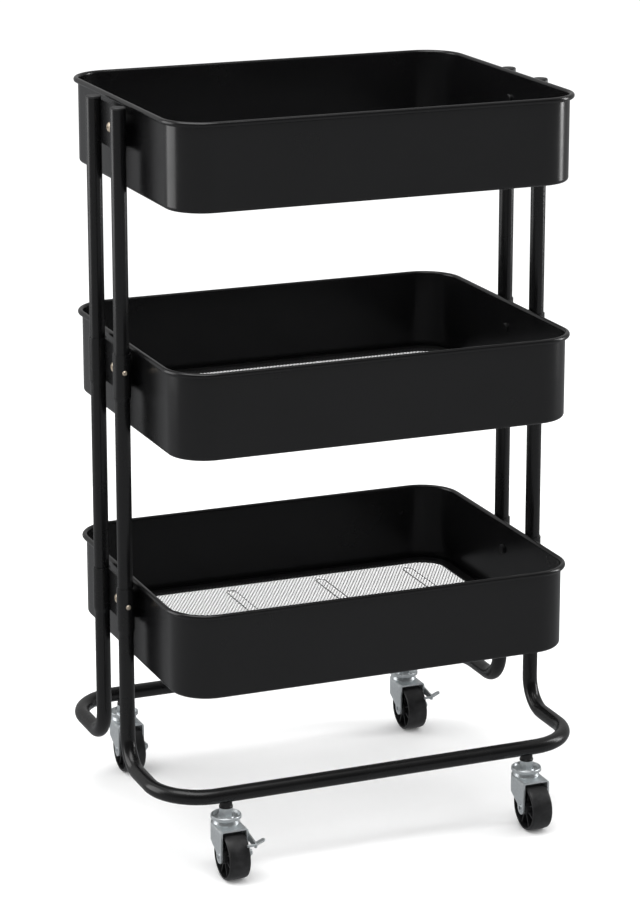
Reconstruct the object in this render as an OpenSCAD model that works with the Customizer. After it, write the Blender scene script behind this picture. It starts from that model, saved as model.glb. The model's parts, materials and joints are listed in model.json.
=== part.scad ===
// Rolling pantry cart: three pressed trays on two pairs of bent tubes, with four swivel casters.
// Millimetres. +X runs along the trays, -Y is the front, +Z is up, and Z = 0 is the floor.

/* [Trays] */
// Length of a tray over its rolled rim
tray_length = 447; // [400:1:500]
// Width of a tray over its rolled rim
tray_width = 348; // [320:1:356]
// Height of a tray from its underside to the top of the rim
tray_height = 91; // [75:1:105]
// Radius of the upright corners, outside the wall
tray_corner = 40; // [28:1:44]
// Thickness of the tray sheet
sheet = 1; // [0.8:0.1:1.4]
// How far the rolled rim stands out from the wall
rim_out = 4.7; // [4:0.1:5.5]
// Width of the floor edge that carries the mesh
floor_edge = 14; // [8:1:18]
// Height of the top tray's rim above the floor
rim_height = 784; // [755:1:810]
// Step from one tray to the next
tray_step = 250.5; // [236:0.5:256]

/* [Frame tubes] */
// Outside diameter of the tubes
tube_d = 16; // [15:0.5:17]
// Wall of the tubes
tube_wall = 1.2; // [1:0.1:1.5]
// Distance from a tray's end wall to the axis of the uprights
post_gap = 15.5; // [15:0.1:22]
// Spacing of the two uprights at each end
pair_spacing = 77; // [70:1:90]
// Spacing of the front and rear base rails
rail_spacing = 322; // [308:1:344]
// Height of the base rails' axis above the floor
rail_height = 84.2; // [83:0.1:90]
// Radius of the plan bends at the ends of a base rail
corner_bend = 54; // [40:1:60]
// Radius of the bends that turn the base tube upward
lift_bend = 32; // [26:1:36]

/* [Sockets and plates] */
// Height of the widened socket at the top of a tube
socket_height = 45; // [38:1:48]
// How far the sockets and plates stay below the rim
socket_drop = 6; // [5:1:10]
// Height of the bolts below the rim
bolt_drop = 30; // [27:1:33]
// Height of the snap buttons below the rim
button_drop = 24.6; // [22:0.2:28]
// How far a snap button stands out of its socket
button_out = 1.6; // [1:0.1:2]
// Thickness of the link plates
plate_t = 2; // [1.5:0.1:2.5]

/* [Casters] */
// Distance of the caster stems from the middle of the cart
stem_x = 171; // [150:1:176]
// Diameter of the wheels
wheel_d = 50; // [46:1:50]
// Width of the wheels
wheel_w = 23; // [18:1:24]
// Distance from a caster's stem to its axle
trail = 18; // [16:1:20]

/* [Hidden] */
$fn = 48;
eps = 0.01;
tube_r = tube_d / 2;
bore_r = tube_r - tube_wall;
slip = 0.05;
flare_r = tube_r + slip + tube_wall;
wall_x = tray_length / 2 - rim_out;
wall_y = tray_width / 2 - rim_out;
post_x = wall_x + post_gap;
post_y = pair_spacing / 2;
rail_y = rail_spacing / 2;
rims = [rim_height - 2 * tray_step, rim_height - tray_step, rim_height];
rim_r = (rim_out + sheet) / 2;
fold_r = 4;
plate_out = 4.8;
button_r = 2.6;
axle_z = wheel_d / 2;
lever_nose = 2;
cup_r = 16;
front_reach = rail_y + trail + wheel_d / 2 + lever_nose;
rear_reach = rail_y + cup_r;
centre_y = (front_reach - rear_reach) / 2;
floor_lift = 4;
floor_top = floor_lift + sheet;
mesh_t = 1.2;
rib_drop = 0.8;
rib_dip = 0.5;
stem_r = 4;
collar_bottom = rail_height - tube_r - 5.2;
fork_top = 54.8;
race_h = 3.4;
cup_bottom = fork_top + race_h + 0.3;
cup_t = 2;
cup_h = 5;
fork_sheet = 2;
fork_w = 30;
axle_r = 3;
eye_r = 7;
fork_front = trail + 7;
brake_pivot = [4 - trail, axle_z + 20];
brake_nose = [-trail - 24, axle_z + 17.6];
black_paint = [0.09, 0.09, 0.095];
black_plastic = [0.13, 0.13, 0.135];
zinc = [0.74, 0.76, 0.77];
bronze = [0.62, 0.56, 0.44];
mesh_grey = [0.3, 0.3, 0.31];

// ---------- helpers: sections and sweeps ----------

// Ring section of a tube.
module tube_section() {
  difference() {
    circle(r = tube_r);
    circle(r = bore_r);
  }
}

// Straight tube of the given length, starting at the origin along +Z.
module straight_tube(length) {
  linear_extrude(length) tube_section();
}

// Four corners and four sides of a rounded rectangle, swept with the section given as a child.
// The section is drawn with its x measured outward from the corner axis.
module ring_sweep(half_x, half_y, corner) {
  for (sx = [0, 1], sy = [0, 1])
    mirror([sx, 0, 0]) mirror([0, sy, 0])
      translate([half_x - corner, half_y - corner, 0])
        rotate_extrude(angle = 90) children();
  for (side = [0, 1]) {
    mirror([side, 0, 0])
      translate([half_x - corner, half_y - corner, 0])
        rotate([90, 0, 0]) linear_extrude(2 * (half_y - corner)) children();
    mirror([0, side, 0])
      translate([corner - half_x, half_y - corner, 0])
        rotate([90, 0, 90]) linear_extrude(2 * (half_x - corner)) children();
  }
}

// Plate with round corners, lying on the XY plane.
module round_plate(half_x, half_y, corner, thick) {
  translate([corner - half_x, -half_y, 0]) cube([2 * (half_x - corner), 2 * half_y, thick]);
  translate([-half_x, corner - half_y, 0]) cube([2 * half_x, 2 * (half_y - corner), thick]);
  for (sx = [-1, 1], sy = [-1, 1])
    translate([sx * (half_x - corner), sy * (half_y - corner), 0]) cylinder(r = corner, h = thick);
}

// Turns a shape drawn for the front right corner into the corner named by the two signs.
module at_corner(side, row) {
  translate([0, centre_y, 0])
    mirror([side < 0 ? 1 : 0, 0, 0])
      mirror([0, row > 0 ? 1 : 0, 0]) children();
}

// ---------- trays ----------

// Section of the tray: upright wall, rolled rim, folded foot, low riser and floor edge.
module tray_section() {
  rim_u = tray_corner - sheet + rim_r;
  riser_u = tray_corner - fold_r - 3;
  difference() {
    union() {
      translate([tray_corner - sheet, fold_r]) square([sheet, tray_height - fold_r - rim_r]);
      translate([riser_u, 0]) square([tray_corner - fold_r - riser_u, sheet]);
      translate([riser_u, 0]) square([sheet, floor_top]);
      translate([tray_corner - sheet - floor_edge, floor_lift])
        square([riser_u - tray_corner + sheet + floor_edge, sheet]);
      intersection() {
        translate([tray_corner - fold_r, fold_r])
          difference() {
            circle(r = fold_r);
            circle(r = fold_r - sheet);
          }
        translate([tray_corner - fold_r, 0]) square(fold_r);
      }
      translate([rim_u, tray_height - rim_r]) circle(r = rim_r, $fn = 24);
    }
    translate([rim_u, tray_height - rim_r]) circle(r = rim_r - sheet, $fn = 24);
  }
}

// One tray, drilled at both ends for its bolts.
module tray(level) {
  color(black_paint)
    translate([0, centre_y, rims[level] - tray_height])
      difference() {
        ring_sweep(wall_x, wall_y, tray_corner) tray_section();
        for (side = [-1, 1])
          translate([side * (wall_x - sheet / 2), 0, tray_height - bolt_drop])
            rotate([0, 90, 0]) cylinder(r = 2.7, h = 4, center = true);
      }
}

// Long rib shape with round ends, running from front to back.
module rib_shape(half_w, length, thick) {
  translate([-half_w, half_w - length / 2, 0]) cube([2 * half_w, length - 2 * half_w, thick]);
  for (end = [-1, 1])
    translate([0, end * (length / 2 - half_w), 0]) cylinder(r = half_w, h = thick);
}

// Mesh floor panel with four long ribs pressed down into it.
module mesh_floor(level) {
  half_x = wall_x - sheet - fold_r;
  half_y = wall_y - sheet - fold_r;
  rib_len = 2 * (half_y - 30);
  color(mesh_grey)
    translate([0, centre_y, rims[level] - tray_height + floor_top])
      difference() {
        union() {
          round_plate(half_x, half_y, tray_corner - sheet - fold_r, mesh_t);
          for (i = [-1.5, -0.5, 0.5, 1.5])
            translate([i * 107, 0, -rib_drop]) rib_shape(6, rib_len, rib_drop + eps);
        }
        for (i = [-1.5, -0.5, 0.5, 1.5])
          translate([i * 107, 0, mesh_t - rib_dip]) rib_shape(5.2, rib_len - 1.6, 2);
      }
}

// ---------- frame ----------

// Upright with a widened socket at its upper end; the wall of the socket has one button hole.
module socket_upright(bottom, rim) {
  low = rim - socket_drop - socket_height;
  top = rim - socket_drop;
  difference() {
    rotate_extrude()
      polygon([
        [bore_r, bottom], [tube_r, bottom], [tube_r, low - 4], [flare_r, low], [flare_r, top],
        [tube_r + slip, top], [tube_r + slip, low + 1], [bore_r, low - 3]
      ]);
    translate([0, 0, rim - button_drop]) rotate([90, 0, 0]) cylinder(r = button_r + 0.3, h = 20);
  }
}

// Collar hole under a base rail.
module collar_hole() {
  translate([stem_x, -rail_y, rail_height - tube_r - 2]) cylinder(r = 6, h = tube_r + 2);
}

// Half of the front base tube, from the middle of the rail to its right socket.
module base_tube_half() {
  run = rail_y - corner_bend - post_y - lift_bend;
  translate([0, -rail_y, rail_height]) rotate([0, 90, 0]) straight_tube(post_x - corner_bend);
  translate([post_x - corner_bend, -rail_y + corner_bend, rail_height])
    rotate([0, 0, -90])
      rotate_extrude(angle = 90) translate([corner_bend, 0]) tube_section();
  translate([post_x, -rail_y + corner_bend, rail_height]) rotate([-90, 0, 0]) straight_tube(run);
  translate([post_x, -post_y - lift_bend, rail_height + lift_bend])
    rotate([0, 90, 0])
      rotate_extrude(angle = 90) translate([lift_bend, 0]) tube_section();
  translate([post_x, -post_y, 0]) socket_upright(rail_height + lift_bend, rims[0]);
}

// One base tube: rail, two plan bends, two upward bends and two sockets.
module base_tube(row) {
  color(black_paint)
    at_corner(1, row)
      difference() {
        union() {
          base_tube_half();
          mirror([1, 0, 0]) base_tube_half();
        }
        collar_hole();
        mirror([1, 0, 0]) collar_hole();
      }
}

// Middle post: stands in the base tube's socket and carries the next socket.
module middle_post(side, row) {
  bottom = rims[0] - socket_drop - socket_height + 2;
  color(black_paint)
    at_corner(side, row)
      translate([post_x, -post_y, 0])
        difference() {
          socket_upright(bottom, rims[1]);
          translate([0, 0, rims[0] - button_drop]) rotate([90, 0, 0]) cylinder(r = button_r + 0.3, h = 20);
        }
}

// Upper post: a plain tube that ends just under the top tray's rim.
module upper_post(side, row) {
  bottom = rims[1] - socket_drop - socket_height + 2;
  color(black_paint)
    at_corner(side, row)
      translate([post_x, -post_y, 0])
        difference() {
          translate([0, 0, bottom]) straight_tube(rims[2] - 5 - bottom);
          translate([0, 0, rims[1] - button_drop]) rotate([90, 0, 0]) cylinder(r = button_r + 0.3, h = 20);
        }
}

// Push-in cap of an upper post.
module post_cap() {
  translate([post_x, -post_y, rims[2] - 5]) {
    cylinder(r = tube_r, h = 1.2);
    translate([0, 0, 1.2]) cylinder(r1 = tube_r, r2 = tube_r - 1, h = 0.8);
    translate([0, 0, -10]) cylinder(r = bore_r - 0.1, h = 10);
  }
}

// Link plate between the two uprights of one end, cut to sit against both of them.
module link_plate(level, side) {
  round_r = level == 2 ? tube_r : flare_r;
  top = rims[level] - socket_drop;
  color(black_paint)
    translate([0, centre_y, 0])
      mirror([side < 0 ? 1 : 0, 0, 0])
        difference() {
          translate([post_x - plate_out - plate_t, -post_y, top - socket_height])
            cube([plate_t, pair_spacing, socket_height]);
          for (row = [-1, 1])
            translate([post_x, row * post_y, top - socket_height - 1])
              cylinder(r = round_r, h = socket_height + 2);
          translate([post_x - plate_out - plate_t - 1, 0, rims[level] - bolt_drop])
            rotate([0, 90, 0]) cylinder(r = 2.7, h = plate_t + 2);
        }
}

// Spacer block between link plate and tray wall, with a round top.
module tray_spacer(level) {
  depth = post_gap - plate_out - plate_t;
  difference() {
    translate([wall_x, 0, rims[level] - bolt_drop]) {
      rotate([0, 90, 0]) cylinder(r = 15, h = depth);
      translate([0, -15, -18]) cube([depth, 30, 18]);
    }
    translate([wall_x - 1, 0, rims[level] - bolt_drop])
      rotate([0, 90, 0]) cylinder(r = 2.7, h = depth + 2);
  }
}

// Pan-head bolt through plate, spacer and wall.
module tray_bolt(level) {
  head_x = post_x - plate_out;
  end_x = wall_x - sheet - 1.6;
  translate([0, 0, rims[level] - bolt_drop]) {
    translate([head_x, 0, 0]) rotate([0, 90, 0])
      difference() {
        union() {
          cylinder(r = 5.1, h = 1.4);
          translate([0, 0, 1.4]) cylinder(r1 = 5.1, r2 = 3.6, h = 1.2);
        }
        for (turn = [0, 90])
          rotate([0, 0, turn]) translate([-2.4, -0.5, 1.4]) cube([4.8, 1, 2]);
      }
    translate([end_x, 0, 0]) rotate([0, 90, 0]) cylinder(r = 2.5, h = head_x - end_x + eps);
  }
}

// Low closed nut on the inside of the tray wall.
module tray_nut(level) {
  translate([wall_x - sheet - 2.6, 0, rims[level] - bolt_drop]) rotate([0, 90, 0])
    difference() {
      union() {
        cylinder(r1 = 4.4, r2 = 5.2, h = 0.8);
        translate([0, 0, 0.8]) cylinder(r = 5.2, h = 1.8);
      }
      translate([0, 0, 1]) cylinder(r = 2.5, h = 4);
    }
}

// The same small part at both ends of every tray.
module every_tray_end() {
  translate([0, centre_y, 0])
    for (level = [0, 1, 2], side = [0, 1])
      mirror([side, 0, 0]) children(level);
}

// ---------- snap buttons ----------

// Domed button with its inner shoulder, drawn for the front right socket of one level.
module snap_button(level, side, row) {
  tip = flare_r + button_out;
  color(zinc)
    at_corner(side, row)
      translate([post_x, -post_y, rims[level] - button_drop]) rotate([90, 0, 0]) {
        translate([0, 0, 3.7]) cylinder(r = button_r + 1, h = 1.2);
        translate([0, 0, 4.9 - eps]) cylinder(r = button_r, h = tip - 1 - 4.9 + eps);
        translate([0, 0, tip - 1]) cylinder(r1 = button_r, r2 = button_r - 1, h = 1);
      }
}

// Leaf spring inside the post, a narrow V that stops just short of the button.
module snap_spring(level) {
  translate([post_x - 3, -post_y, rims[level] - button_drop]) {
    translate([0, 5.3, -19]) cube([6, 0.6, 22]);
    translate([0, 0, -20]) rotate([90, 0, 90])
      linear_extrude(6)
        polygon([[5.9, 1], [5.9, -1], [5.1, -1.8], [-2.2, 14.4], [-1.6, 14.7], [5.3, -0.2], [5.3, 1]]);
  }
}

// ---------- casters ----------

// Threaded collar: a saddle-cut neck under the rail, a wider foot and a bush that reaches up inside it.
module caster_collar() {
  translate([stem_x, -rail_y, 0])
    difference() {
      union() {
        difference() {
          translate([0, 0, collar_bottom])
            cylinder(r = 6.6, h = rail_height - tube_r + 2 - collar_bottom);
          translate([-10, 0, rail_height]) rotate([0, 90, 0]) cylinder(r = tube_r, h = 20);
        }
        translate([0, 0, collar_bottom]) cylinder(r = 7.2, h = 1.6);
        translate([0, 0, collar_bottom + 1.6]) cylinder(r1 = 7.2, r2 = 6.6, h = 0.8);
        translate([0, 0, collar_bottom + 0.5]) cylinder(r = 5.9, h = rail_height - collar_bottom);
      }
      translate([0, 0, collar_bottom - 1]) cylinder(r = stem_r + slip, h = 30);
    }
}

// Stem with hexagon and washer, dished upper bearing cup and riveted foot under the crown.
module caster_stem() {
  hex_bottom = cup_bottom + cup_t;
  foot_top = fork_top - fork_sheet - 0.3;
  translate([stem_x, -rail_y, 0]) {
    translate([0, 0, hex_bottom - eps])
      cylinder(r = 7.6, h = collar_bottom - hex_bottom + eps, $fn = 6);
    translate([0, 0, hex_bottom - eps]) cylinder(r1 = 9.4, r2 = 8.4, h = 1.4);
    translate([0, 0, foot_top - eps]) cylinder(r = stem_r, h = rail_height - 2 - foot_top);
    translate([0, 0, foot_top - 2]) cylinder(r = 6, h = 2);
    translate([0, 0, cup_bottom])
      rotate_extrude()
        polygon([
          [0, 0], [cup_r - 2, 0], [cup_r, 1.6], [cup_r, cup_h - 0.6], [cup_r - 0.6, cup_h],
          [cup_r - 1.6, cup_h], [cup_r - 2.2, cup_h - 1], [cup_r - 3, cup_t + 0.6], [cup_r - 4, cup_t],
          [0, cup_t]
        ]);
  }
}

// Side view of a fork: upright front edge, rear edge that slants down to the axle eye.
module fork_side() {
  polygon([
    [15, fork_top], [-fork_front, fork_top], [-trail - eye_r, axle_z], [-trail + eye_r, axle_z],
    [-trail + eye_r + 1, axle_z + 2.5], [15, fork_top - 14]
  ]);
  translate([-trail, axle_z]) circle(r = eye_r);
}

// Cross section of a fork: folded U with round outer shoulders.
module fork_u() {
  half = fork_w / 2;
  bend = 3;
  inner = bend - fork_sheet;
  difference() {
    union() {
      translate([-half, 0]) square([fork_w, fork_top - bend]);
      translate([bend - half, 0]) square([fork_w - 2 * bend, fork_top]);
      for (s = [-1, 1]) translate([s * (half - bend), fork_top - bend]) circle(r = bend);
    }
    translate([fork_sheet - half, -1]) square([fork_w - 2 * fork_sheet, fork_top - bend + 1]);
    translate([bend - half, -1]) square([fork_w - 2 * bend, fork_top - fork_sheet + 1]);
    for (s = [-1, 1]) translate([s * (half - bend), fork_top - bend]) circle(r = inner);
  }
}

// Plan of a fork's crown: round behind the stem, square in front.
module fork_plan() {
  circle(r = fork_w / 2 + 1);
  translate([-20, -60]) square([40, 58]);
}

// Fork with lower bearing race, bored for stem and axle; braked forks carry the lever's pin hole.
module fork(side, row, braked) {
  color(zinc)
    translate([side * stem_x, row * rail_y + centre_y, 0])
      difference() {
        union() {
          intersection() {
            translate([0, 20, 0]) rotate([90, 0, 0]) linear_extrude(80) fork_u();
            translate([-20, 0, 0]) rotate([90, 0, 90]) linear_extrude(40) fork_side();
            linear_extrude(80) fork_plan();
          }
          translate([0, 0, fork_top - eps]) cylinder(r1 = 14.2, r2 = 13, h = race_h);
        }
        translate([0, 0, fork_top - 5]) cylinder(r = stem_r + 0.3, h = 10);
        translate([-20, -trail, axle_z]) rotate([0, 90, 0]) cylinder(r = axle_r + 0.02, h = 40);
        if (braked)
          translate([5, brake_pivot[0], brake_pivot[1]]) rotate([0, 90, 0]) cylinder(r = 2, h = 20);
      }
}

// Section of a wheel, radius against width: tread with round shoulders, rim, web and hub.
module wheel_section() {
  r = wheel_d / 2;
  half = wheel_w / 2;
  edge = 2.5;
  difference() {
    union() {
      translate([axle_r + 0.06, -half]) square([r - edge - axle_r - 0.06, wheel_w]);
      translate([r - edge - eps, edge - half]) square([edge + eps, wheel_w - 2 * edge]);
      for (s = [-1, 1]) translate([r - edge, s * (half - edge)]) circle(r = edge, $fn = 24);
    }
    for (s = [-1, 1])
      translate([8, s > 0 ? 2 : -half - 1]) square([r - 8 - 4.5, half - 1]);
  }
}

// Wheel with six ribs on each face of the web.
module wheel(side, row) {
  r = wheel_d / 2;
  color(black_plastic)
    translate([side * stem_x, row * rail_y - trail + centre_y, axle_z])
      rotate([0, 90, 0]) {
        rotate_extrude($fn = 96) wheel_section();
        for (i = [0:5])
          rotate([0, 0, i * 60])
            translate([7.5, -0.7, 2.5 - wheel_w / 2]) cube([r - 7.5 - 4, 1.4, wheel_w - 5]);
      }
}

// Axle: hollow rivet head on the left cheek, nut and bolt end on the right one.
module axle(side, row) {
  half = fork_w / 2;
  color(zinc)
    translate([side * stem_x, row * rail_y - trail + centre_y, axle_z])
      rotate([0, 90, 0])
        difference() {
          union() {
            translate([0, 0, -half - eps]) cylinder(r = axle_r, h = fork_w + 6);
            translate([0, 0, -half - 0.8]) cylinder(r1 = 3.8, r2 = 4.3, h = 0.8);
            translate([0, 0, half]) cylinder(r = 5.1, h = 4, $fn = 6);
          }
          translate([0, 0, -half - 1]) cylinder(r = 2.2, h = 3);
        }
}

// Brake lever: side plate on its pin, short tongue over the tread's edge and an oval thumb tab.
module brake_lever(side, row) {
  face = fork_w / 2 + 0.3;
  t = 1.6;
  tongue = 8;
  p = brake_pivot;
  n = brake_nose;
  color(zinc)
    translate([side * stem_x, row * rail_y + centre_y, 0]) {
      difference() {
        translate([face, 0, 0]) rotate([90, 0, 90])
          linear_extrude(t) {
            translate(p) circle(r = 4.6);
            translate(n) circle(r = 3);
            polygon([[p[0], p[1] + 4.6], [p[0], p[1] - 4.6], [n[0], n[1] - 3], [n[0], n[1] + 3]]);
          }
        translate([face - 1, p[0], p[1]]) rotate([0, 90, 0]) cylinder(r = 2.06, h = t + 2);
      }
      translate([face - tongue, n[0], n[1]]) rotate([0, 90, 0]) cylinder(r = 1.5, h = tongue + t / 2);
      translate([face + t / 2, n[0], n[1] + 1])
        rotate([0, -22, 0]) {
          translate([0, -3, -0.8]) cube([8, 6, 1.6]);
          translate([8, 0, -0.8]) cylinder(r = 3, h = 1.6);
        }
    }
}

// Pin that the lever turns on, with a flat head outside.
module brake_pin(side, row) {
  half = fork_w / 2;
  color(zinc)
    translate([side * stem_x, row * rail_y + centre_y + brake_pivot[0], brake_pivot[1]])
      rotate([0, 90, 0]) {
        translate([0, 0, half - fork_sheet]) cylinder(r = 2, h = fork_sheet + 2.2 + eps);
        translate([0, 0, half + 2.2]) cylinder(r = 3.2, h = 1);
      }
}

// ---------- sub-parts ----------

base_tube(-1);  // front_base_tube
base_tube(1);  // rear_base_tube

middle_post(-1, -1);  // middle_post_front_left
middle_post(1, -1);  // middle_post_front_right
middle_post(-1, 1);  // middle_post_rear_left
middle_post(1, 1);  // middle_post_rear_right

upper_post(-1, -1);  // upper_post_front_left
upper_post(1, -1);  // upper_post_front_right
upper_post(-1, 1);  // upper_post_rear_left
upper_post(1, 1);  // upper_post_rear_right

link_plate(0, -1);  // bottom_plate_left
link_plate(0, 1);  // bottom_plate_right
link_plate(1, -1);  // middle_plate_left
link_plate(1, 1);  // middle_plate_right
link_plate(2, -1);  // top_plate_left
link_plate(2, 1);  // top_plate_right

tray(0);  // bottom_tray
tray(1);  // middle_tray
tray(2);  // top_tray
mesh_floor(0);  // bottom_mesh
mesh_floor(1);  // middle_mesh
mesh_floor(2);  // top_mesh

module tray_spacers() {
  color(black_plastic) every_tray_end() { tray_spacer(0); tray_spacer(1); tray_spacer(2); }
}
module tray_bolts() {
  color(bronze) every_tray_end() { tray_bolt(0); tray_bolt(1); tray_bolt(2); }
}
module tray_nuts() {
  color(black_paint) every_tray_end() { tray_nut(0); tray_nut(1); tray_nut(2); }
}
module post_caps() {
  color(black_plastic)
    for (side = [-1, 1], row = [-1, 1]) at_corner(side, row) post_cap();
}
module snap_springs() {
  color(zinc)
    for (side = [-1, 1], row = [-1, 1], level = [0, 1]) at_corner(side, row) snap_spring(level);
}
module caster_collars() {
  color(black_paint)
    for (side = [-1, 1], row = [-1, 1]) at_corner(side, row) caster_collar();
}
module caster_stems() {
  color(zinc)
    for (side = [-1, 1], row = [-1, 1]) at_corner(side, row) caster_stem();
}

tray_spacers();
tray_bolts();
tray_nuts();
post_caps();
snap_springs();

snap_button(0, -1, -1);  // lower_button_front_left
snap_button(0, 1, -1);  // lower_button_front_right
snap_button(0, -1, 1);  // lower_button_rear_left
snap_button(0, 1, 1);  // lower_button_rear_right
snap_button(1, -1, -1);  // upper_button_front_left
snap_button(1, 1, -1);  // upper_button_front_right
snap_button(1, -1, 1);  // upper_button_rear_left
snap_button(1, 1, 1);  // upper_button_rear_right

caster_collars();
caster_stems();
fork(-1, -1, true);  // fork_front_left
fork(1, -1, false);  // fork_front_right
fork(-1, 1, false);  // fork_rear_left
fork(1, 1, true);  // fork_rear_right
wheel(-1, -1);  // wheel_front_left
wheel(1, -1);  // wheel_front_right
wheel(-1, 1);  // wheel_rear_left
wheel(1, 1);  // wheel_rear_right
axle(-1, -1);  // axle_front_left
axle(1, -1);  // axle_front_right
axle(-1, 1);  // axle_rear_left
axle(1, 1);  // axle_rear_right
brake_lever(-1, -1);  // brake_front_left
brake_lever(1, 1);  // brake_rear_right
brake_pin(-1, -1);  // brake_pin_front_left
brake_pin(1, 1);  // brake_pin_rear_right
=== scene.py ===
# %% [markdown]
# # A rolling pantry cart
# The cart has three pressed steel trays on two pairs of bent tubes, and it rolls on four swivel
# casters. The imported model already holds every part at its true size, so this script only gives
# each part its finish and rebuilds the few parts whose look needs finer mesh work. Everything is in
# metres, with Z up and the floor at zero.

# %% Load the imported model
import json
import math

import bmesh
import bpy
from mathutils import Matrix, Vector


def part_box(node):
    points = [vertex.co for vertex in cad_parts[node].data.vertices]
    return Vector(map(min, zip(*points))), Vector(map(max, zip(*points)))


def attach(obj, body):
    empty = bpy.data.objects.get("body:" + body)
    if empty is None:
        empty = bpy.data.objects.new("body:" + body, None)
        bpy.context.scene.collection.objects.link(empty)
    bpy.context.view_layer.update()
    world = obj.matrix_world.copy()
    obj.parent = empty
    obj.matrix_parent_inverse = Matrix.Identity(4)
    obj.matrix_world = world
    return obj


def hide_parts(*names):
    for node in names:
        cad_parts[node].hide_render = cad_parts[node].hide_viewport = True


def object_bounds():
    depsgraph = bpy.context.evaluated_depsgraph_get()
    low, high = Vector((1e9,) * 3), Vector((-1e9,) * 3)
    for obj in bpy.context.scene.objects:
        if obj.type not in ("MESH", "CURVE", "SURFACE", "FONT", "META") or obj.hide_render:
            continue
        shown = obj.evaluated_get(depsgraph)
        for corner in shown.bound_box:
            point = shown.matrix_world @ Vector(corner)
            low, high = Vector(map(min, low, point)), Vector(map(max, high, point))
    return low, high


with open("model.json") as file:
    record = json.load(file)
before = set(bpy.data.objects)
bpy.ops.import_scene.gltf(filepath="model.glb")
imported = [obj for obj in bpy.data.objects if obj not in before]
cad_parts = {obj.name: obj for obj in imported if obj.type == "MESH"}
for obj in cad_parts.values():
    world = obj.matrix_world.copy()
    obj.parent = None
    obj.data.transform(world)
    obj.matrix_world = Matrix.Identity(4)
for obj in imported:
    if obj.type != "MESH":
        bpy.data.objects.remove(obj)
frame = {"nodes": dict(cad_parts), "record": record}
cad_low, cad_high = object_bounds()
MM = 0.001

# %% [markdown]
# A material is a small tree of nodes. Adding nodes by hand takes several lines each time, so one
# helper adds a node and fills its inputs. An input may be a plain value or another node's output,
# which is then linked.


# %% Helper that adds one shader node
def put(tree, kind, inputs=None, **settings):
    made = tree.nodes.new("ShaderNode" + kind)
    for name, value in settings.items():
        setattr(made, name, value)
    for name, value in (inputs or {}).items():
        socket = made.inputs[name]
        if isinstance(value, bpy.types.NodeSocket):
            tree.links.new(value, socket)
        else:
            socket.default_value = value
    return made


def number(tree, operation, first, second=0.0):
    """A math node on two values or sockets, and its result."""
    return put(tree, "Math", {0: first, 1: second}, operation=operation).outputs[0]


def spread(tree, value, low, high, new_low, new_high):
    """Maps a value from one range to another, and stays inside it."""
    made = put(
        tree,
        "MapRange",
        {
            "Value": value,
            "From Min": low,
            "From Max": high,
            "To Min": new_low,
            "To Max": new_high,
        },
    )
    return made.outputs[0]


# %% [markdown]
# Effects that several finishes share are node groups with named inputs and outputs. Each is built
# once and placed in every material that needs it, with that material's own values.


# %% Helper that opens a node group
def open_group(name, inputs, outputs):
    """Makes a group whose inputs are numbers and whose outputs have the kinds given."""
    tree = bpy.data.node_groups.new(name, "ShaderNodeTree")
    for label, value in inputs.items():
        socket = tree.interface.new_socket(
            label, in_out="INPUT", socket_type="NodeSocketFloat"
        )
        socket.default_value = value
    for label, kind in outputs.items():
        tree.interface.new_socket(
            label, in_out="OUTPUT", socket_type="NodeSocket" + kind
        )
    entry = tree.nodes.new("NodeGroupInput").outputs
    exit_ = tree.nodes.new("NodeGroupOutput").inputs
    return tree, entry, exit_


def close_group(tree, exit_, results):
    for label, socket in results.items():
        tree.links.new(socket, exit_[label])
    print("group", tree.name, "with", len(tree.nodes), "nodes")
    return tree


def use(tree, group, **values):
    """Places a group in a material and sets its inputs by name."""
    made = put(tree, "Group", node_tree=group)
    for name, value in values.items():
        made.inputs[name.replace("_", " ")].default_value = value
    return made.outputs


# %% [markdown]
# Powder coat melts into a skin with a faint orange peel: shallow ripples about two millimetres
# across. A fine noise gives the ripples, and a much wider one moves the gloss a little from place
# to place, as on a real oven-baked part. Bump is enough here, because the ripples are only a few
# thousandths of a millimetre high.

# %% Group: orange peel
tree, entry, exit_ = open_group(
    "orange_peel",
    {
        "Ripples per metre": 450.0,
        "Gloss low": 0.2,
        "Gloss high": 0.3,
        "Patches per metre": 14.0,
    },
    {"Height": "Float", "Roughness": "Float"},
)
place = put(tree, "TexCoord").outputs["Object"]
ripples = put(
    tree,
    "TexNoise",
    {
        "Vector": place,
        "Scale": entry["Ripples per metre"],
        "Detail": 2.0,
        "Roughness": 0.45,
    },
).outputs["Fac"]
patches = put(
    tree,
    "TexNoise",
    {
        "Vector": place,
        "Scale": entry["Patches per metre"],
        "Detail": 4.0,
        "Roughness": 0.6,
    },
).outputs["Fac"]
gloss = put(
    tree,
    "MapRange",
    {
        "Value": patches,
        "From Min": 0.3,
        "From Max": 0.7,
        "To Min": entry["Gloss low"],
        "To Max": entry["Gloss high"],
    },
).outputs[0]
ORANGE_PEEL = close_group(tree, exit_, {"Height": ripples, "Roughness": gloss})

# %% [markdown]
# Where a coat or a plating runs over an edge it is thinner and gets touched most. The bevel node
# gives a normal that is rounded near edges; the further it leans from the true normal, the nearer
# the edge. A little noise breaks the mask up so that it doesn't look drawn.

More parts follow.
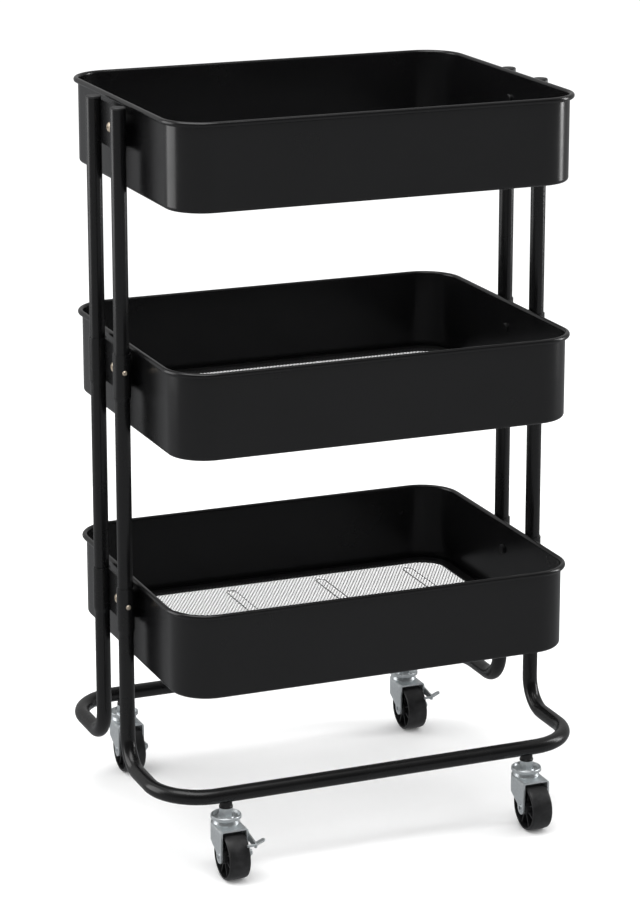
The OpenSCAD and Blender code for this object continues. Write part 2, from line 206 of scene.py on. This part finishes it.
# %% Group: edge mask
tree, entry, exit_ = open_group(
    "edge_mask",
    {"Radius": 0.0005, "Breaks per metre": 900.0, "Strength": 1.0},
    {"Mask": "Float"},
)
rounded = put(tree, "Bevel", {"Radius": entry["Radius"]}, samples=3).outputs["Normal"]
true_normal = put(tree, "NewGeometry").outputs["Normal"]
lean = put(
    tree, "VectorMath", {0: rounded, 1: true_normal}, operation="DOT_PRODUCT"
).outputs["Value"]
near_edge = spread(tree, lean, 0.98, 0.8, 0.0, 1.0)
place = put(tree, "TexCoord").outputs["Object"]
breaks = put(
    tree,
    "TexNoise",
    {"Vector": place, "Scale": entry["Breaks per metre"], "Detail": 3.0},
).outputs["Fac"]
broken = spread(tree, breaks, 0.4, 0.6, 0.35, 1.0)
mask = number(
    tree, "MULTIPLY", number(tree, "MULTIPLY", near_edge, broken), entry["Strength"]
)
EDGE_MASK = close_group(tree, exit_, {"Mask": mask})

# %% [markdown]
# A little dust settles on faces that look up. The mask comes from how far the surface normal
# points upward, times a cloudy noise, so upright walls stay clean and floors and rims go slightly
# grey.

# %% Group: settled dust
tree, entry, exit_ = open_group(
    "settled_dust", {"Clouds per metre": 30.0, "Amount": 0.1}, {"Mask": "Float"}
)
up = put(
    tree, "SeparateXYZ", {"Vector": put(tree, "NewGeometry").outputs["Normal"]}
).outputs["Z"]
facing_up = spread(tree, up, 0.5, 1.0, 0.0, 1.0)
place = put(tree, "TexCoord").outputs["Object"]
clouds = put(
    tree,
    "TexNoise",
    {
        "Vector": place,
        "Scale": entry["Clouds per metre"],
        "Detail": 6.0,
        "Roughness": 0.65,
    },
).outputs["Fac"]
cloudy = spread(tree, clouds, 0.35, 0.75, 0.2, 1.0)
mask = number(
    tree, "MULTIPLY", number(tree, "MULTIPLY", facing_up, cloudy), entry["Amount"]
)
SETTLED_DUST = close_group(tree, exit_, {"Mask": mask})

# %% [markdown]
# Zinc plating on pressed steel shows three things: a fine directional grain from the sheet,
# small crystals of slightly different brightness, and hairline scratches. Stretched noise gives the
# grain, a cell pattern gives the crystals, and a second, more stretched noise gives the scratches.

# %% Group: plated steel
tree, entry, exit_ = open_group(
    "plated_steel",
    {"Grain per metre": 1500.0, "Crystals per metre": 420.0},
    {"Height": "Float", "Shade": "Float", "Roughness": "Float"},
)
place = put(tree, "TexCoord").outputs["Object"]
stretched = put(
    tree, "Mapping", {"Vector": place, "Scale": (1.0, 0.12, 1.0)}
).outputs[0]
grain = put(
    tree,
    "TexNoise",
    {"Vector": stretched, "Scale": entry["Grain per metre"], "Detail": 3.0},
).outputs["Fac"]
crystals = put(
    tree, "TexVoronoi", {"Vector": place, "Scale": entry["Crystals per metre"]}
).outputs["Color"]
crystal = put(tree, "SeparateColor", {"Color": crystals}).outputs[0]
hair_place = put(
    tree,
    "Mapping",
    {"Vector": place, "Rotation": (0.3, 0.5, 0.7), "Scale": (1.0, 0.03, 1.0)},
).outputs[0]
hair = put(
    tree, "TexNoise", {"Vector": hair_place, "Scale": 2600.0, "Detail": 1.0}
).outputs["Fac"]
scratch = spread(tree, hair, 0.66, 0.72, 0.0, 1.0)
height = number(tree, "SUBTRACT", grain, number(tree, "MULTIPLY", scratch, 0.6))
shade = number(
    tree,
    "ADD",
    number(tree, "MULTIPLY", crystal, 0.3),
    number(tree, "MULTIPLY", grain, 0.65),
)
dull = spread(tree, shade, 0.2, 0.8, 0.28, 0.42)
PLATED_STEEL = close_group(
    tree, exit_, {"Height": height, "Shade": shade, "Roughness": dull}
)

# %% [markdown]
# The black powder coat is one Principled shader. Its colour is almost black, with a slight shift
# between two blacks, a greyer edge where the coat is thin, and dust on what looks up. The bevel
# node softens every sheet edge, so that it catches a line of light as a coated edge does.


# %% Finish: black powder coat
def powder_coat(name, ripple_height, gloss_low, gloss_high, dust_amount, edge_radius):
    made = bpy.data.materials.new(name)
    made.use_nodes = True
    tree = made.node_tree
    shader = tree.nodes["Principled BSDF"]
    peel = use(tree, ORANGE_PEEL, Gloss_low=gloss_low, Gloss_high=gloss_high)
    edge = use(tree, EDGE_MASK, Radius=edge_radius, Strength=0.5)["Mask"]
    dust = use(tree, SETTLED_DUST, Amount=dust_amount)["Mask"]
    place = put(tree, "TexCoord").outputs["Object"]
    tone = put(
        tree, "TexNoise", {"Vector": place, "Scale": 9.0, "Detail": 5.0}
    ).outputs["Fac"]
    black = put(
        tree,
        "Mix",
        {
            "Factor": tone,
            "A": (0.0022, 0.0022, 0.0024, 1),
            "B": (0.004, 0.004, 0.0043, 1),
        },
        data_type="RGBA",
    )
    edged = put(
        tree,
        "Mix",
        {"Factor": edge, "A": black.outputs["Result"], "B": (0.03, 0.03, 0.031, 1)},
        data_type="RGBA",
    )
    dusted = put(
        tree,
        "Mix",
        {"Factor": dust, "A": edged.outputs["Result"], "B": (0.22, 0.21, 0.2, 1)},
        data_type="RGBA",
    )
    rough = number(
        tree, "ADD", peel["Roughness"], number(tree, "MULTIPLY", dust, 1.5)
    )
    soft = put(tree, "Bevel", {"Radius": edge_radius}, samples=3).outputs["Normal"]
    bump = put(
        tree,
        "Bump",
        {
            "Strength": 0.5,
            "Distance": ripple_height,
            "Height": peel["Height"],
            "Normal": soft,
        },
    )
    for socket, value in (
        ("Base Color", dusted.outputs["Result"]),
        ("Roughness", rough),
        ("Normal", bump.outputs["Normal"]),
    ):
        tree.links.new(value, shader.inputs[socket])
    print("finish", name)
    return made


TRAY_COAT = powder_coat("tray_powder_coat", 5e-6, 0.18, 0.28, 0.012, 0.0004)
TUBE_COAT = powder_coat("tube_powder_coat", 3e-6, 0.2, 0.32, 0.01, 0.0004)
MESH_COAT = powder_coat("mesh_powder_coat", 4e-6, 0.3, 0.42, 0.02, 0.0001)

# %% [markdown]
# Zinc plating and the warmer passivated plating of the tray bolts differ only in colour and
# brightness, so one function makes both. Metallic stays a plain value on the shader, and a little
# under one, because the fine crystals scatter some light.


# %% Finish: zinc plating
def plating(name, bright, deep, extra_roughness):
    made = bpy.data.materials.new(name)
    made.use_nodes = True
    tree = made.node_tree
    shader = tree.nodes["Principled BSDF"]
    shader.inputs["Metallic"].default_value = 0.85
    steel = use(tree, PLATED_STEEL)
    edge = use(tree, EDGE_MASK, Radius=0.0004, Strength=0.7)["Mask"]
    base = put(
        tree,
        "Mix",
        {"Factor": steel["Shade"], "A": deep, "B": bright},
        data_type="RGBA",
    )
    edged = put(
        tree,
        "Mix",
        {"Factor": edge, "A": base.outputs["Result"], "B": (0.9, 0.91, 0.92, 1)},
        data_type="RGBA",
    )
    rough = number(tree, "ADD", steel["Roughness"], extra_roughness)
    soft = put(tree, "Bevel", {"Radius": 0.0005}, samples=3).outputs["Normal"]
    bump = put(
        tree,
        "Bump",
        {
            "Strength": 0.4,
            "Distance": 2.5e-6,
            "Height": steel["Height"],
            "Normal": soft,
        },
    )
    for socket, value in (
        ("Base Color", edged.outputs["Result"]),
        ("Roughness", rough),
        ("Normal", bump.outputs["Normal"]),
    ):
        tree.links.new(value, shader.inputs[socket])
    print("finish", name)
    return made


ZINC = plating("zinc_plating", (0.78, 0.81, 0.82, 1), (0.5, 0.54, 0.56, 1), 0.0)
BOLT_ZINC = plating("warm_bolt_plating", (0.82, 0.72, 0.58, 1), (0.62, 0.52, 0.4, 1), 0.02)

# %% [markdown]
# The wheels are moulded from one hard black plastic. It has a fine matt texture, slightly lighter
# scuffs where the tread has rolled, and darker, glossier hollows. The cap plugs share it with a
# finer texture.


# %% Finish: moulded black plastic
def moulded_plastic(name, pits_per_metre, pit_height, scuff_amount):
    made = bpy.data.materials.new(name)
    made.use_nodes = True
    tree = made.node_tree
    shader = tree.nodes["Principled BSDF"]
    peel = use(
        tree,
        ORANGE_PEEL,
        Ripples_per_metre=pits_per_metre,
        Gloss_low=0.38,
        Gloss_high=0.52,
        Patches_per_metre=60.0,
    )
    edge = use(tree, EDGE_MASK, Radius=0.0006, Strength=0.6)["Mask"]
    place = put(tree, "TexCoord").outputs["Object"]
    clouds = put(
        tree,
        "TexNoise",
        {"Vector": place, "Scale": 110.0, "Detail": 7.0, "Roughness": 0.7},
    ).outputs["Fac"]
    scuffs = spread(tree, clouds, 0.45, 0.75, 0.0, scuff_amount)
    worn = number(tree, "MAXIMUM", scuffs, number(tree, "MULTIPLY", edge, 0.5))
    colour = put(
        tree,
        "Mix",
        {
            "Factor": worn,
            "A": (0.006, 0.006, 0.0066, 1),
            "B": (0.06, 0.06, 0.064, 1),
        },
        data_type="RGBA",
    )
    bump = put(
        tree,
        "Bump",
        {"Strength": 0.5, "Distance": pit_height, "Height": peel["Height"]},
    )
    for socket, value in (
        ("Base Color", colour.outputs["Result"]),
        ("Roughness", peel["Roughness"]),
        ("Normal", bump.outputs["Normal"]),
    ):
        tree.links.new(value, shader.inputs[socket])
    print("finish", name)
    return made


WHEEL_PLASTIC = moulded_plastic("wheel_plastic", 1800.0, 1.5e-5, 0.25)
CAP_PLASTIC = moulded_plastic("cap_plastic", 2400.0, 1e-5, 0.1)

# %% [markdown]
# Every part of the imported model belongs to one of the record's material slots. The finish follows
# from the slot, except that the trays are glossier than the tubes, because sheet takes the powder
# more evenly, and that the small snap buttons share the warm plating of the bolts.

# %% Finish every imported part
FINISH = {
    "black_paint": TUBE_COAT,
    "mesh_coat": MESH_COAT,
    "zinc": ZINC,
    "bronze_zinc": BOLT_ZINC,
    "black_plastic": CAP_PLASTIC,
    "wheel_plastic": WHEEL_PLASTIC,
}
for part in frame["record"]["subparts"]:
    name = part["node"]
    finish = FINISH[part["material_slot"]]
    if name.endswith("_tray"):
        finish = TRAY_COAT
    elif "_button_" in name:
        finish = BOLT_ZINC
    mesh = frame["nodes"][name].data
    mesh.materials.clear()
    mesh.materials.append(finish)


# %% Helper that makes a piece from a bmesh
def make_piece(name, shape, finish, body, replaced=()):
    """Turns a bmesh into a smooth-shaded piece that rides on a body."""
    bmesh.ops.recalc_face_normals(shape, faces=shape.faces)
    mesh = bpy.data.meshes.new(name)
    shape.to_mesh(mesh)
    shape.free()
    piece = bpy.data.objects.new(name, mesh)
    bpy.context.scene.collection.objects.link(piece)
    mesh.materials.append(finish)
    mesh.shade_smooth()
    mesh.set_sharp_from_angle(angle=math.radians(35))
    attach(piece, body)
    if replaced:
        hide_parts(*replaced)
    print(name, "has", len(mesh.polygons), "faces")
    return piece


# %% [markdown]
# Each tray floor is expanded steel: a thin sheet slit and pulled open into slim diamonds, longer
# from front to back. Its border is left solid and lies on the tray's folded foot. An image with
# transparency would look flat from the side, so the strands are real: two families of flat bars
# that cross at the diamonds' angle, each clipped to the border. Four long ribs are pressed down
# into the sheet to stiffen it, so a strand dips where it crosses one.

# %% Sizes of the mesh floor
STRAND_WIDTH = 0.7 * MM
STRAND_THICK = 0.3 * MM
STRAND_STEP = 3.36 * MM
STRAND_ANGLES = (math.radians(59), math.radians(121))
BORDER = 10.5 * MM
BORDER_THICK = 1.1 * MM
FOOT_CORNER = 35 * MM
RIB_STEP = 107 * MM
RIB_HALF = 5.5 * MM
RIB_END_GAP = 30 * MM
RIB_DEPTH = 0.7 * MM
RIB_LIP = 0.7 * MM
RIBS = [RIB_STEP * i for i in (-1.5, -0.5, 0.5, 1.5)]


def rounded_rectangle(half_x, half_y, corner, steps=10):
    """Points of a rounded rectangle, counterclockwise."""
    points = []
    for quarter, (sx, sy) in enumerate(((1, 1), (-1, 1), (-1, -1), (1, -1))):
        for i in range(steps + 1):
            angle = math.radians(90) * (quarter + i / steps)
            points.append(
                (
                    sx * (half_x - corner) + corner * math.cos(angle),
                    sy * (half_y - corner) + corner * math.sin(angle),
                )
            )
    return points


def clip_line(outline, direction, offset):
    """Where an endless line enters and leaves a convex outline, as distances along it."""
    dx, dy = direction
    px, py = -dy * offset, dx * offset
    enter, leave = -1e9, 1e9
    for (ax, ay), (bx, by) in zip(outline, outline[1:] + outline[:1]):
        nx, ny = by - ay, ax - bx
        if abs(nx) + abs(ny) < 1e-12:
            continue
        rate = nx * dx + ny * dy
        gap = nx * (ax - px) + ny * (ay - py)
        if abs(rate) < 1e-12:
            if gap < 0:
                return None
        elif rate > 0:
            leave = min(leave, gap / rate)
        else:
            enter = max(enter, gap / rate)
    return (enter, leave) if leave - enter > 2 * MM else None


# %% [markdown]
# A strand is a chain of rectangular rings. Straight stretches need no points between, so rings sit
# only at its ends and at the edges of the ribs it crosses, which keeps the whole floor light.


# %% Build one strand
def add_strand(shape, direction, offset, span, level, rib_length):
    dx, dy = direction
    px, py = -dy * offset, dx * offset
    stops = list(span)
    for rib in RIBS:
        for edge in (-RIB_HALF, -0.75 * RIB_HALF, 0.75 * RIB_HALF, RIB_HALF):
            along = (rib + edge - px) / dx
            if span[0] + 0.5 * MM < along < span[1] - 0.5 * MM:
                stops.append(along)
    rings = []
    for along in sorted(stops):
        x, y = px + dx * along, py + dy * along
        inside = any(abs(x - rib) < 0.8 * RIB_HALF for rib in RIBS)
        dip = RIB_DEPTH if inside and abs(y) < rib_length / 2 else 0.0
        z = level - dip
        ring = []
        for side, up in ((-1, -1), (1, -1), (1, 1), (-1, 1)):
            ring.append(
                shape.verts.new(
                    (
                        x - dy * side * STRAND_WIDTH / 2,
                        y + dx * side * STRAND_WIDTH / 2,
                        z + up * STRAND_THICK / 2,
                    )
                )
            )
        rings.append(ring)
    for first, second in zip(rings, rings[1:]):
        for i in range(4):
            j = (i + 1) % 4
            shape.faces.new((first[i], first[j], second[j], second[i]))
    shape.faces.new(rings[0])
    shape.faces.new(rings[-1][::-1])


# %% Build a band between two outlines
def add_band(shape, outer, inner, bottom, top):
    """A closed flat ring with the same number of points on both outlines."""
    loops = []
    for points, z in ((outer, bottom), (outer, top), (inner, top), (inner, bottom)):
        loops.append([shape.verts.new((x, y, z)) for x, y in points])
    count = len(outer)
    for first, second in zip(loops, loops[1:] + loops[:1]):
        for i in range(count):
            j = (i + 1) % count
            shape.faces.new((first[i], first[j], second[j], second[i]))


def slot_outline(centre_x, half_width, length, steps=8):
    """Points of a long slot with round ends that runs from front to back."""
    points = []
    for end, start in ((1, 0), (-1, 180)):
        for i in range(steps + 1):
            angle = math.radians(start + 180 * i / steps)
            points.append(
                (
                    centre_x + half_width * math.cos(angle),
                    end * (length / 2 - half_width) + half_width * math.sin(angle),
                )
            )
    return points


# %% Build the three mesh floors
def mesh_floor(level):
    low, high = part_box(level + "_mesh")
    middle = (low + high) / 2
    half_x, half_y = (high.x - low.x) / 2, (high.y - low.y) / 2
    rib_length = 2 * (half_y - RIB_END_GAP)
    shape = bmesh.new()
    outer = rounded_rectangle(half_x, half_y, FOOT_CORNER)
    inner = rounded_rectangle(
        half_x - BORDER, half_y - BORDER, FOOT_CORNER - BORDER
    )
    floor = high.z - BORDER_THICK - middle.z
    add_band(shape, outer, inner, floor, high.z - middle.z)
    clip = rounded_rectangle(
        half_x - BORDER + MM, half_y - BORDER + MM, FOOT_CORNER - BORDER + MM
    )
    reach = math.hypot(half_x, half_y)
    count = 0
    for layer, angle in enumerate(STRAND_ANGLES):
        direction = (math.cos(angle), math.sin(angle))
        height = high.z - middle.z - (0.25 + layer) * STRAND_THICK - STRAND_THICK / 2
        steps = int(reach / STRAND_STEP)
        for i in range(-steps, steps + 1):
            span = clip_line(clip, direction, i * STRAND_STEP)
            if span:
                add_strand(
                    shape, direction, i * STRAND_STEP, span, height, rib_length
                )
                count += 1
    for rib in RIBS:
        rim = slot_outline(rib, RIB_HALF + 0.1 * MM, rib_length)
        lip = slot_outline(rib, RIB_HALF - 0.5 * MM, rib_length - 1.2 * MM)
        base = high.z - middle.z - RIB_DEPTH - 0.5 * MM
        add_band(shape, rim, lip, base, base + RIB_LIP)
    bmesh.ops.translate(shape, verts=shape.verts, vec=middle)
    print(level, "floor has", count, "strands")
    return make_piece(
        level + "_floor_mesh",
        shape,
        MESH_COAT,
        "cart_frame",
        [level + "_mesh"],
    )


for level in ("bottom", "middle", "top"):
    mesh_floor(level)

# %% [markdown]
# A caster wheel is moulded: a slightly crowned tread with soft shoulders, a deep hollow on each
# face, a thin web in the middle and ribs from hub to rim. Turning its half section round the axle
# gives everything but the ribs. The ribs are joined to it with an exact union, so that the wheel is
# one closed skin, as a moulding is.

# %% Sizes of the wheel section
HUB_RADIUS = 7.6 * MM
BORE_RADIUS = 3.1 * MM
RIM_THICK = 3.6 * MM
WEB_HALF = 1.6 * MM
CROWN = 0.5 * MM
SHOULDER = 2.2 * MM
RIB_COUNT = 8
WHEEL_STEPS = 96


def wheel_half_section(radius, half_width):
    """Section from the web's middle plane outward: radius first, then width."""
    points = [(BORE_RADIUS, 0.0), (BORE_RADIUS, half_width - 0.6 * MM)]
    points += [(BORE_RADIUS + 0.5 * MM, half_width - 0.1 * MM)]
    points += [(HUB_RADIUS - 0.5 * MM, half_width - 0.1 * MM)]
    points += [(HUB_RADIUS, half_width - 0.6 * MM)]
    points += [(HUB_RADIUS + 0.5 * MM, WEB_HALF + 0.5 * MM)]
    points += [(HUB_RADIUS + 1.2 * MM, WEB_HALF)]
    inner_rim = radius - RIM_THICK
    points += [(inner_rim - 0.9 * MM, WEB_HALF), (inner_rim, WEB_HALF + 0.9 * MM)]
    points += [(inner_rim + 0.4 * MM, half_width - 0.5 * MM)]
    points += [(inner_rim + 0.9 * MM, half_width)]
    for i in range(7):
        angle = math.radians(15 * i)
        points.append(
            (
                radius - CROWN - SHOULDER + SHOULDER * math.sin(angle),
                half_width - SHOULDER + SHOULDER * math.cos(angle),
            )
        )
    tread = half_width - SHOULDER
    for i in range(1, 7):
        share = i / 6
        width = tread * (1 - share)
        points.append((radius - CROWN * (width / tread) ** 2, width))
    return points


def add_box(shape, low, high):
    """A closed box between two corners, given as x, y, z."""
    made = bmesh.ops.create_cube(shape, size=1.0)["verts"]
    size = [b - a for a, b in zip(low, high)]
    middle = [(a + b) / 2 for a, b in zip(low, high)]
    for vertex in made:
        vertex.co = Vector([m + s * c for m, s, c in zip(middle, size, vertex.co)])
    return made


# %% Turn the wheel and join its ribs
def wheel_shape(radius, half_width):
    half = wheel_half_section(radius, half_width)
    section = half + [(r, -w) for r, w in reversed(half[1:-1])]
    shape = bmesh.new()
    rings = []
    for i in range(WHEEL_STEPS):
        turn = math.tau * i / WHEEL_STEPS
        rings.append(
            [
                shape.verts.new((w, r * math.cos(turn), r * math.sin(turn)))
                for r, w in section
            ]
        )
    count = len(section)
    for first, second in zip(rings, rings[1:] + rings[:1]):
        for i in range(count):
            j = (i + 1) % count
            shape.faces.new((first[i], first[j], second[j], second[i]))
    bmesh.ops.recalc_face_normals(shape, faces=shape.faces)
    ribs = bmesh.new()
    inner, outer = HUB_RADIUS - 0.8 * MM, radius - RIM_THICK + 0.8 * MM
    for i in range(RIB_COUNT):
        made = add_box(
            ribs,
            (-half_width + 2.4 * MM, -0.65 * MM, inner),
            (half_width - 2.4 * MM, 0.65 * MM, outer),
        )
        turn = Matrix.Rotation(math.tau * (i + 0.5) / RIB_COUNT, 4, "X")
        bmesh.ops.transform(ribs, matrix=turn, verts=made)
    return shape, ribs


def union(first, second):
    """The exact union of two bmeshes, as a new bmesh."""
    objects = []
    for index, shape in enumerate((first, second)):
        mesh = bpy.data.meshes.new(f"union_{index}")
        shape.to_mesh(mesh)
        shape.free()
        made = bpy.data.objects.new(f"union_{index}", mesh)
        bpy.context.scene.collection.objects.link(made)
        objects.append(made)
    join = objects[0].modifiers.new("join", "BOOLEAN")
    join.operation, join.solver, join.object = "UNION", "EXACT", objects[1]
    joined = objects[0].evaluated_get(bpy.context.evaluated_depsgraph_get())
    result = bmesh.new()
    result.from_mesh(joined.data)
    for made in objects:
        bpy.data.objects.remove(made)
    return result


CORNERS = [(row, side) for row in ("front", "rear") for side in ("left", "right")]
low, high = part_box("wheel_front_left")
wheel_radius, wheel_half = (high.z - low.z) / 2, (high.x - low.x) / 2
joined_wheel = union(*wheel_shape(wheel_radius, wheel_half))
for row, side in CORNERS:
    low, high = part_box(f"wheel_{row}_{side}")
    shape = joined_wheel.copy()
    bmesh.ops.translate(shape, verts=shape.verts, vec=(low + high) / 2)
    make_piece(
        f"moulded_wheel_{row}_{side}",
        shape,
        WHEEL_PLASTIC,
        f"rolling_wheel_{row}_{side}",
        [f"wheel_{row}_{side}"],
    )
joined_wheel.free()

# %% [markdown]
# The stage is a plain pale floor and even studio light. Black gloss shows only what it reflects, so
# the studio mirrors dim in front and brighter behind, and a wide soft lamp stands at the left. That
# leaves the front walls a deep grey and draws a soft band down each rounded corner. The floor is
# pale to the eye, and dim in the reflections, as a sweep that falls off into a dark room is.

# %% Floor
shape = bmesh.new()
bmesh.ops.create_grid(shape, x_segments=1, y_segments=1, size=20)
floor_mesh = bpy.data.meshes.new("studio_floor")
shape.to_mesh(floor_mesh)
shape.free()
floor = bpy.data.objects.new("studio_floor", floor_mesh)
bpy.context.scene.collection.objects.link(floor)
floor_finish = bpy.data.materials.new("pale_floor")
floor_finish.use_nodes = True
tree = floor_finish.node_tree
tree.nodes.remove(tree.nodes["Principled BSDF"])
pale = put(tree, "BsdfDiffuse", {"Color": (0.93, 0.93, 0.93, 1)}).outputs[0]
dim = put(
    tree, "Emission", {"Color": (0.97, 0.98, 1.0, 1), "Strength": 0.33}
).outputs[0]
glossy_ray = put(tree, "LightPath").outputs["Is Glossy Ray"]
both = put(tree, "MixShader", {0: glossy_ray, 1: pale, 2: dim}).outputs[0]
tree.links.new(both, tree.nodes["Material Output"].inputs["Surface"])
floor_mesh.materials.append(floor_finish)

# %% Surrounding light
studio = bpy.data.worlds.new("studio")
bpy.context.scene.world = studio
studio.use_nodes = True
studio.cycles.sampling_method = "NONE"
tree = studio.node_tree
background = tree.nodes["Background"]
background.inputs["Color"].default_value = (1, 1, 1, 1)
direction = put(tree, "TexCoord").outputs["Generated"]
toward = put(tree, "SeparateXYZ", {"Vector": direction})
back_light = spread(tree, toward.outputs["Y"], -0.6, 0.9, 0.05, 0.4)
ceiling = spread(tree, toward.outputs["Z"], 0.4, 1.0, 0.0, 0.25)
mirrored = number(tree, "ADD", back_light, ceiling)
rays = put(tree, "LightPath").outputs
even = put(
    tree, "Mix", {"Factor": rays["Is Diffuse Ray"], "A": mirrored, "B": 1.15}
).outputs["Result"]
seen = put(
    tree, "Mix", {"Factor": rays["Is Camera Ray"], "A": even, "B": 1.0}
).outputs["Result"]
tree.links.new(seen, background.inputs["Strength"])


# %% Lamps
def soft_lamp(name, place, target, width, height, power):
    """A rectangular lamp in metres and watts, turned towards its target."""
    data = bpy.data.lights.new(name, "AREA")
    data.shape = "RECTANGLE"
    data.size, data.size_y = width, height
    data.energy = power
    lamp = bpy.data.objects.new(name, data)
    lamp.location = place
    aim = Vector(target) - Vector(place)
    lamp.rotation_euler = aim.to_track_quat("-Z", "Y").to_euler()
    bpy.context.scene.collection.objects.link(lamp)
    return lamp


MIDDLE = (cad_low + cad_high) / 2
soft_lamp("left_softbox", (-2.3, 1.1, 1.0), MIDDLE, 1.7, 2.2, 27)
soft_lamp("right_softbox", (2.4, -0.5, 1.1), MIDDLE, 0.5, 2.0, 25)
soft_lamp("high_softbox", (-0.6, -0.4, 2.8), MIDDLE, 2.4, 2.0, 45)

# %% [markdown]
# The camera stands at the left front and looks down by about fourteen degrees. A long lens keeps
# the uprights nearly parallel, and a small shift places the cart in the tall frame.

# %% Camera
SENSOR_MM = 36
LENS_MM = 123.815686
SHIFT_UP = -0.1078431
YAW = 0.3913
PITCH = 0.2506
STAND_LEFT = 1.2342
STAND_BACK = 2.9908
EYE_HEIGHT = 1.3170
camera_data = bpy.data.cameras.new("camera")
camera_data.sensor_width = SENSOR_MM
camera_data.lens = LENS_MM
camera_data.shift_y = SHIFT_UP
camera = bpy.data.objects.new("camera", camera_data)
tray_low, tray_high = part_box("top_tray")
tray_middle = (tray_low + tray_high) / 2
camera.location = (-STAND_LEFT, tray_middle.y - STAND_BACK, EYE_HEIGHT)
forward = Vector(
    (
        math.sin(YAW) * math.cos(PITCH),
        math.cos(YAW) * math.cos(PITCH),
        -math.sin(PITCH),
    )
)
camera.rotation_euler = forward.to_track_quat("-Z", "Y").to_euler()
bpy.context.scene.collection.objects.link(camera)
bpy.context.scene.camera = camera
bpy.context.scene.view_settings.view_transform = "Standard"
print("lens", round(camera_data.lens, 1), "shift", round(camera_data.shift_y, 4))

# %% [markdown]
# Last, the size of the model that shows is written beside the size of the imported model, to be
# compared, and the frame is closed.

# %% Size of the imported model
print("cad", [round(v, 4) for v in (*cad_low, *cad_high)])
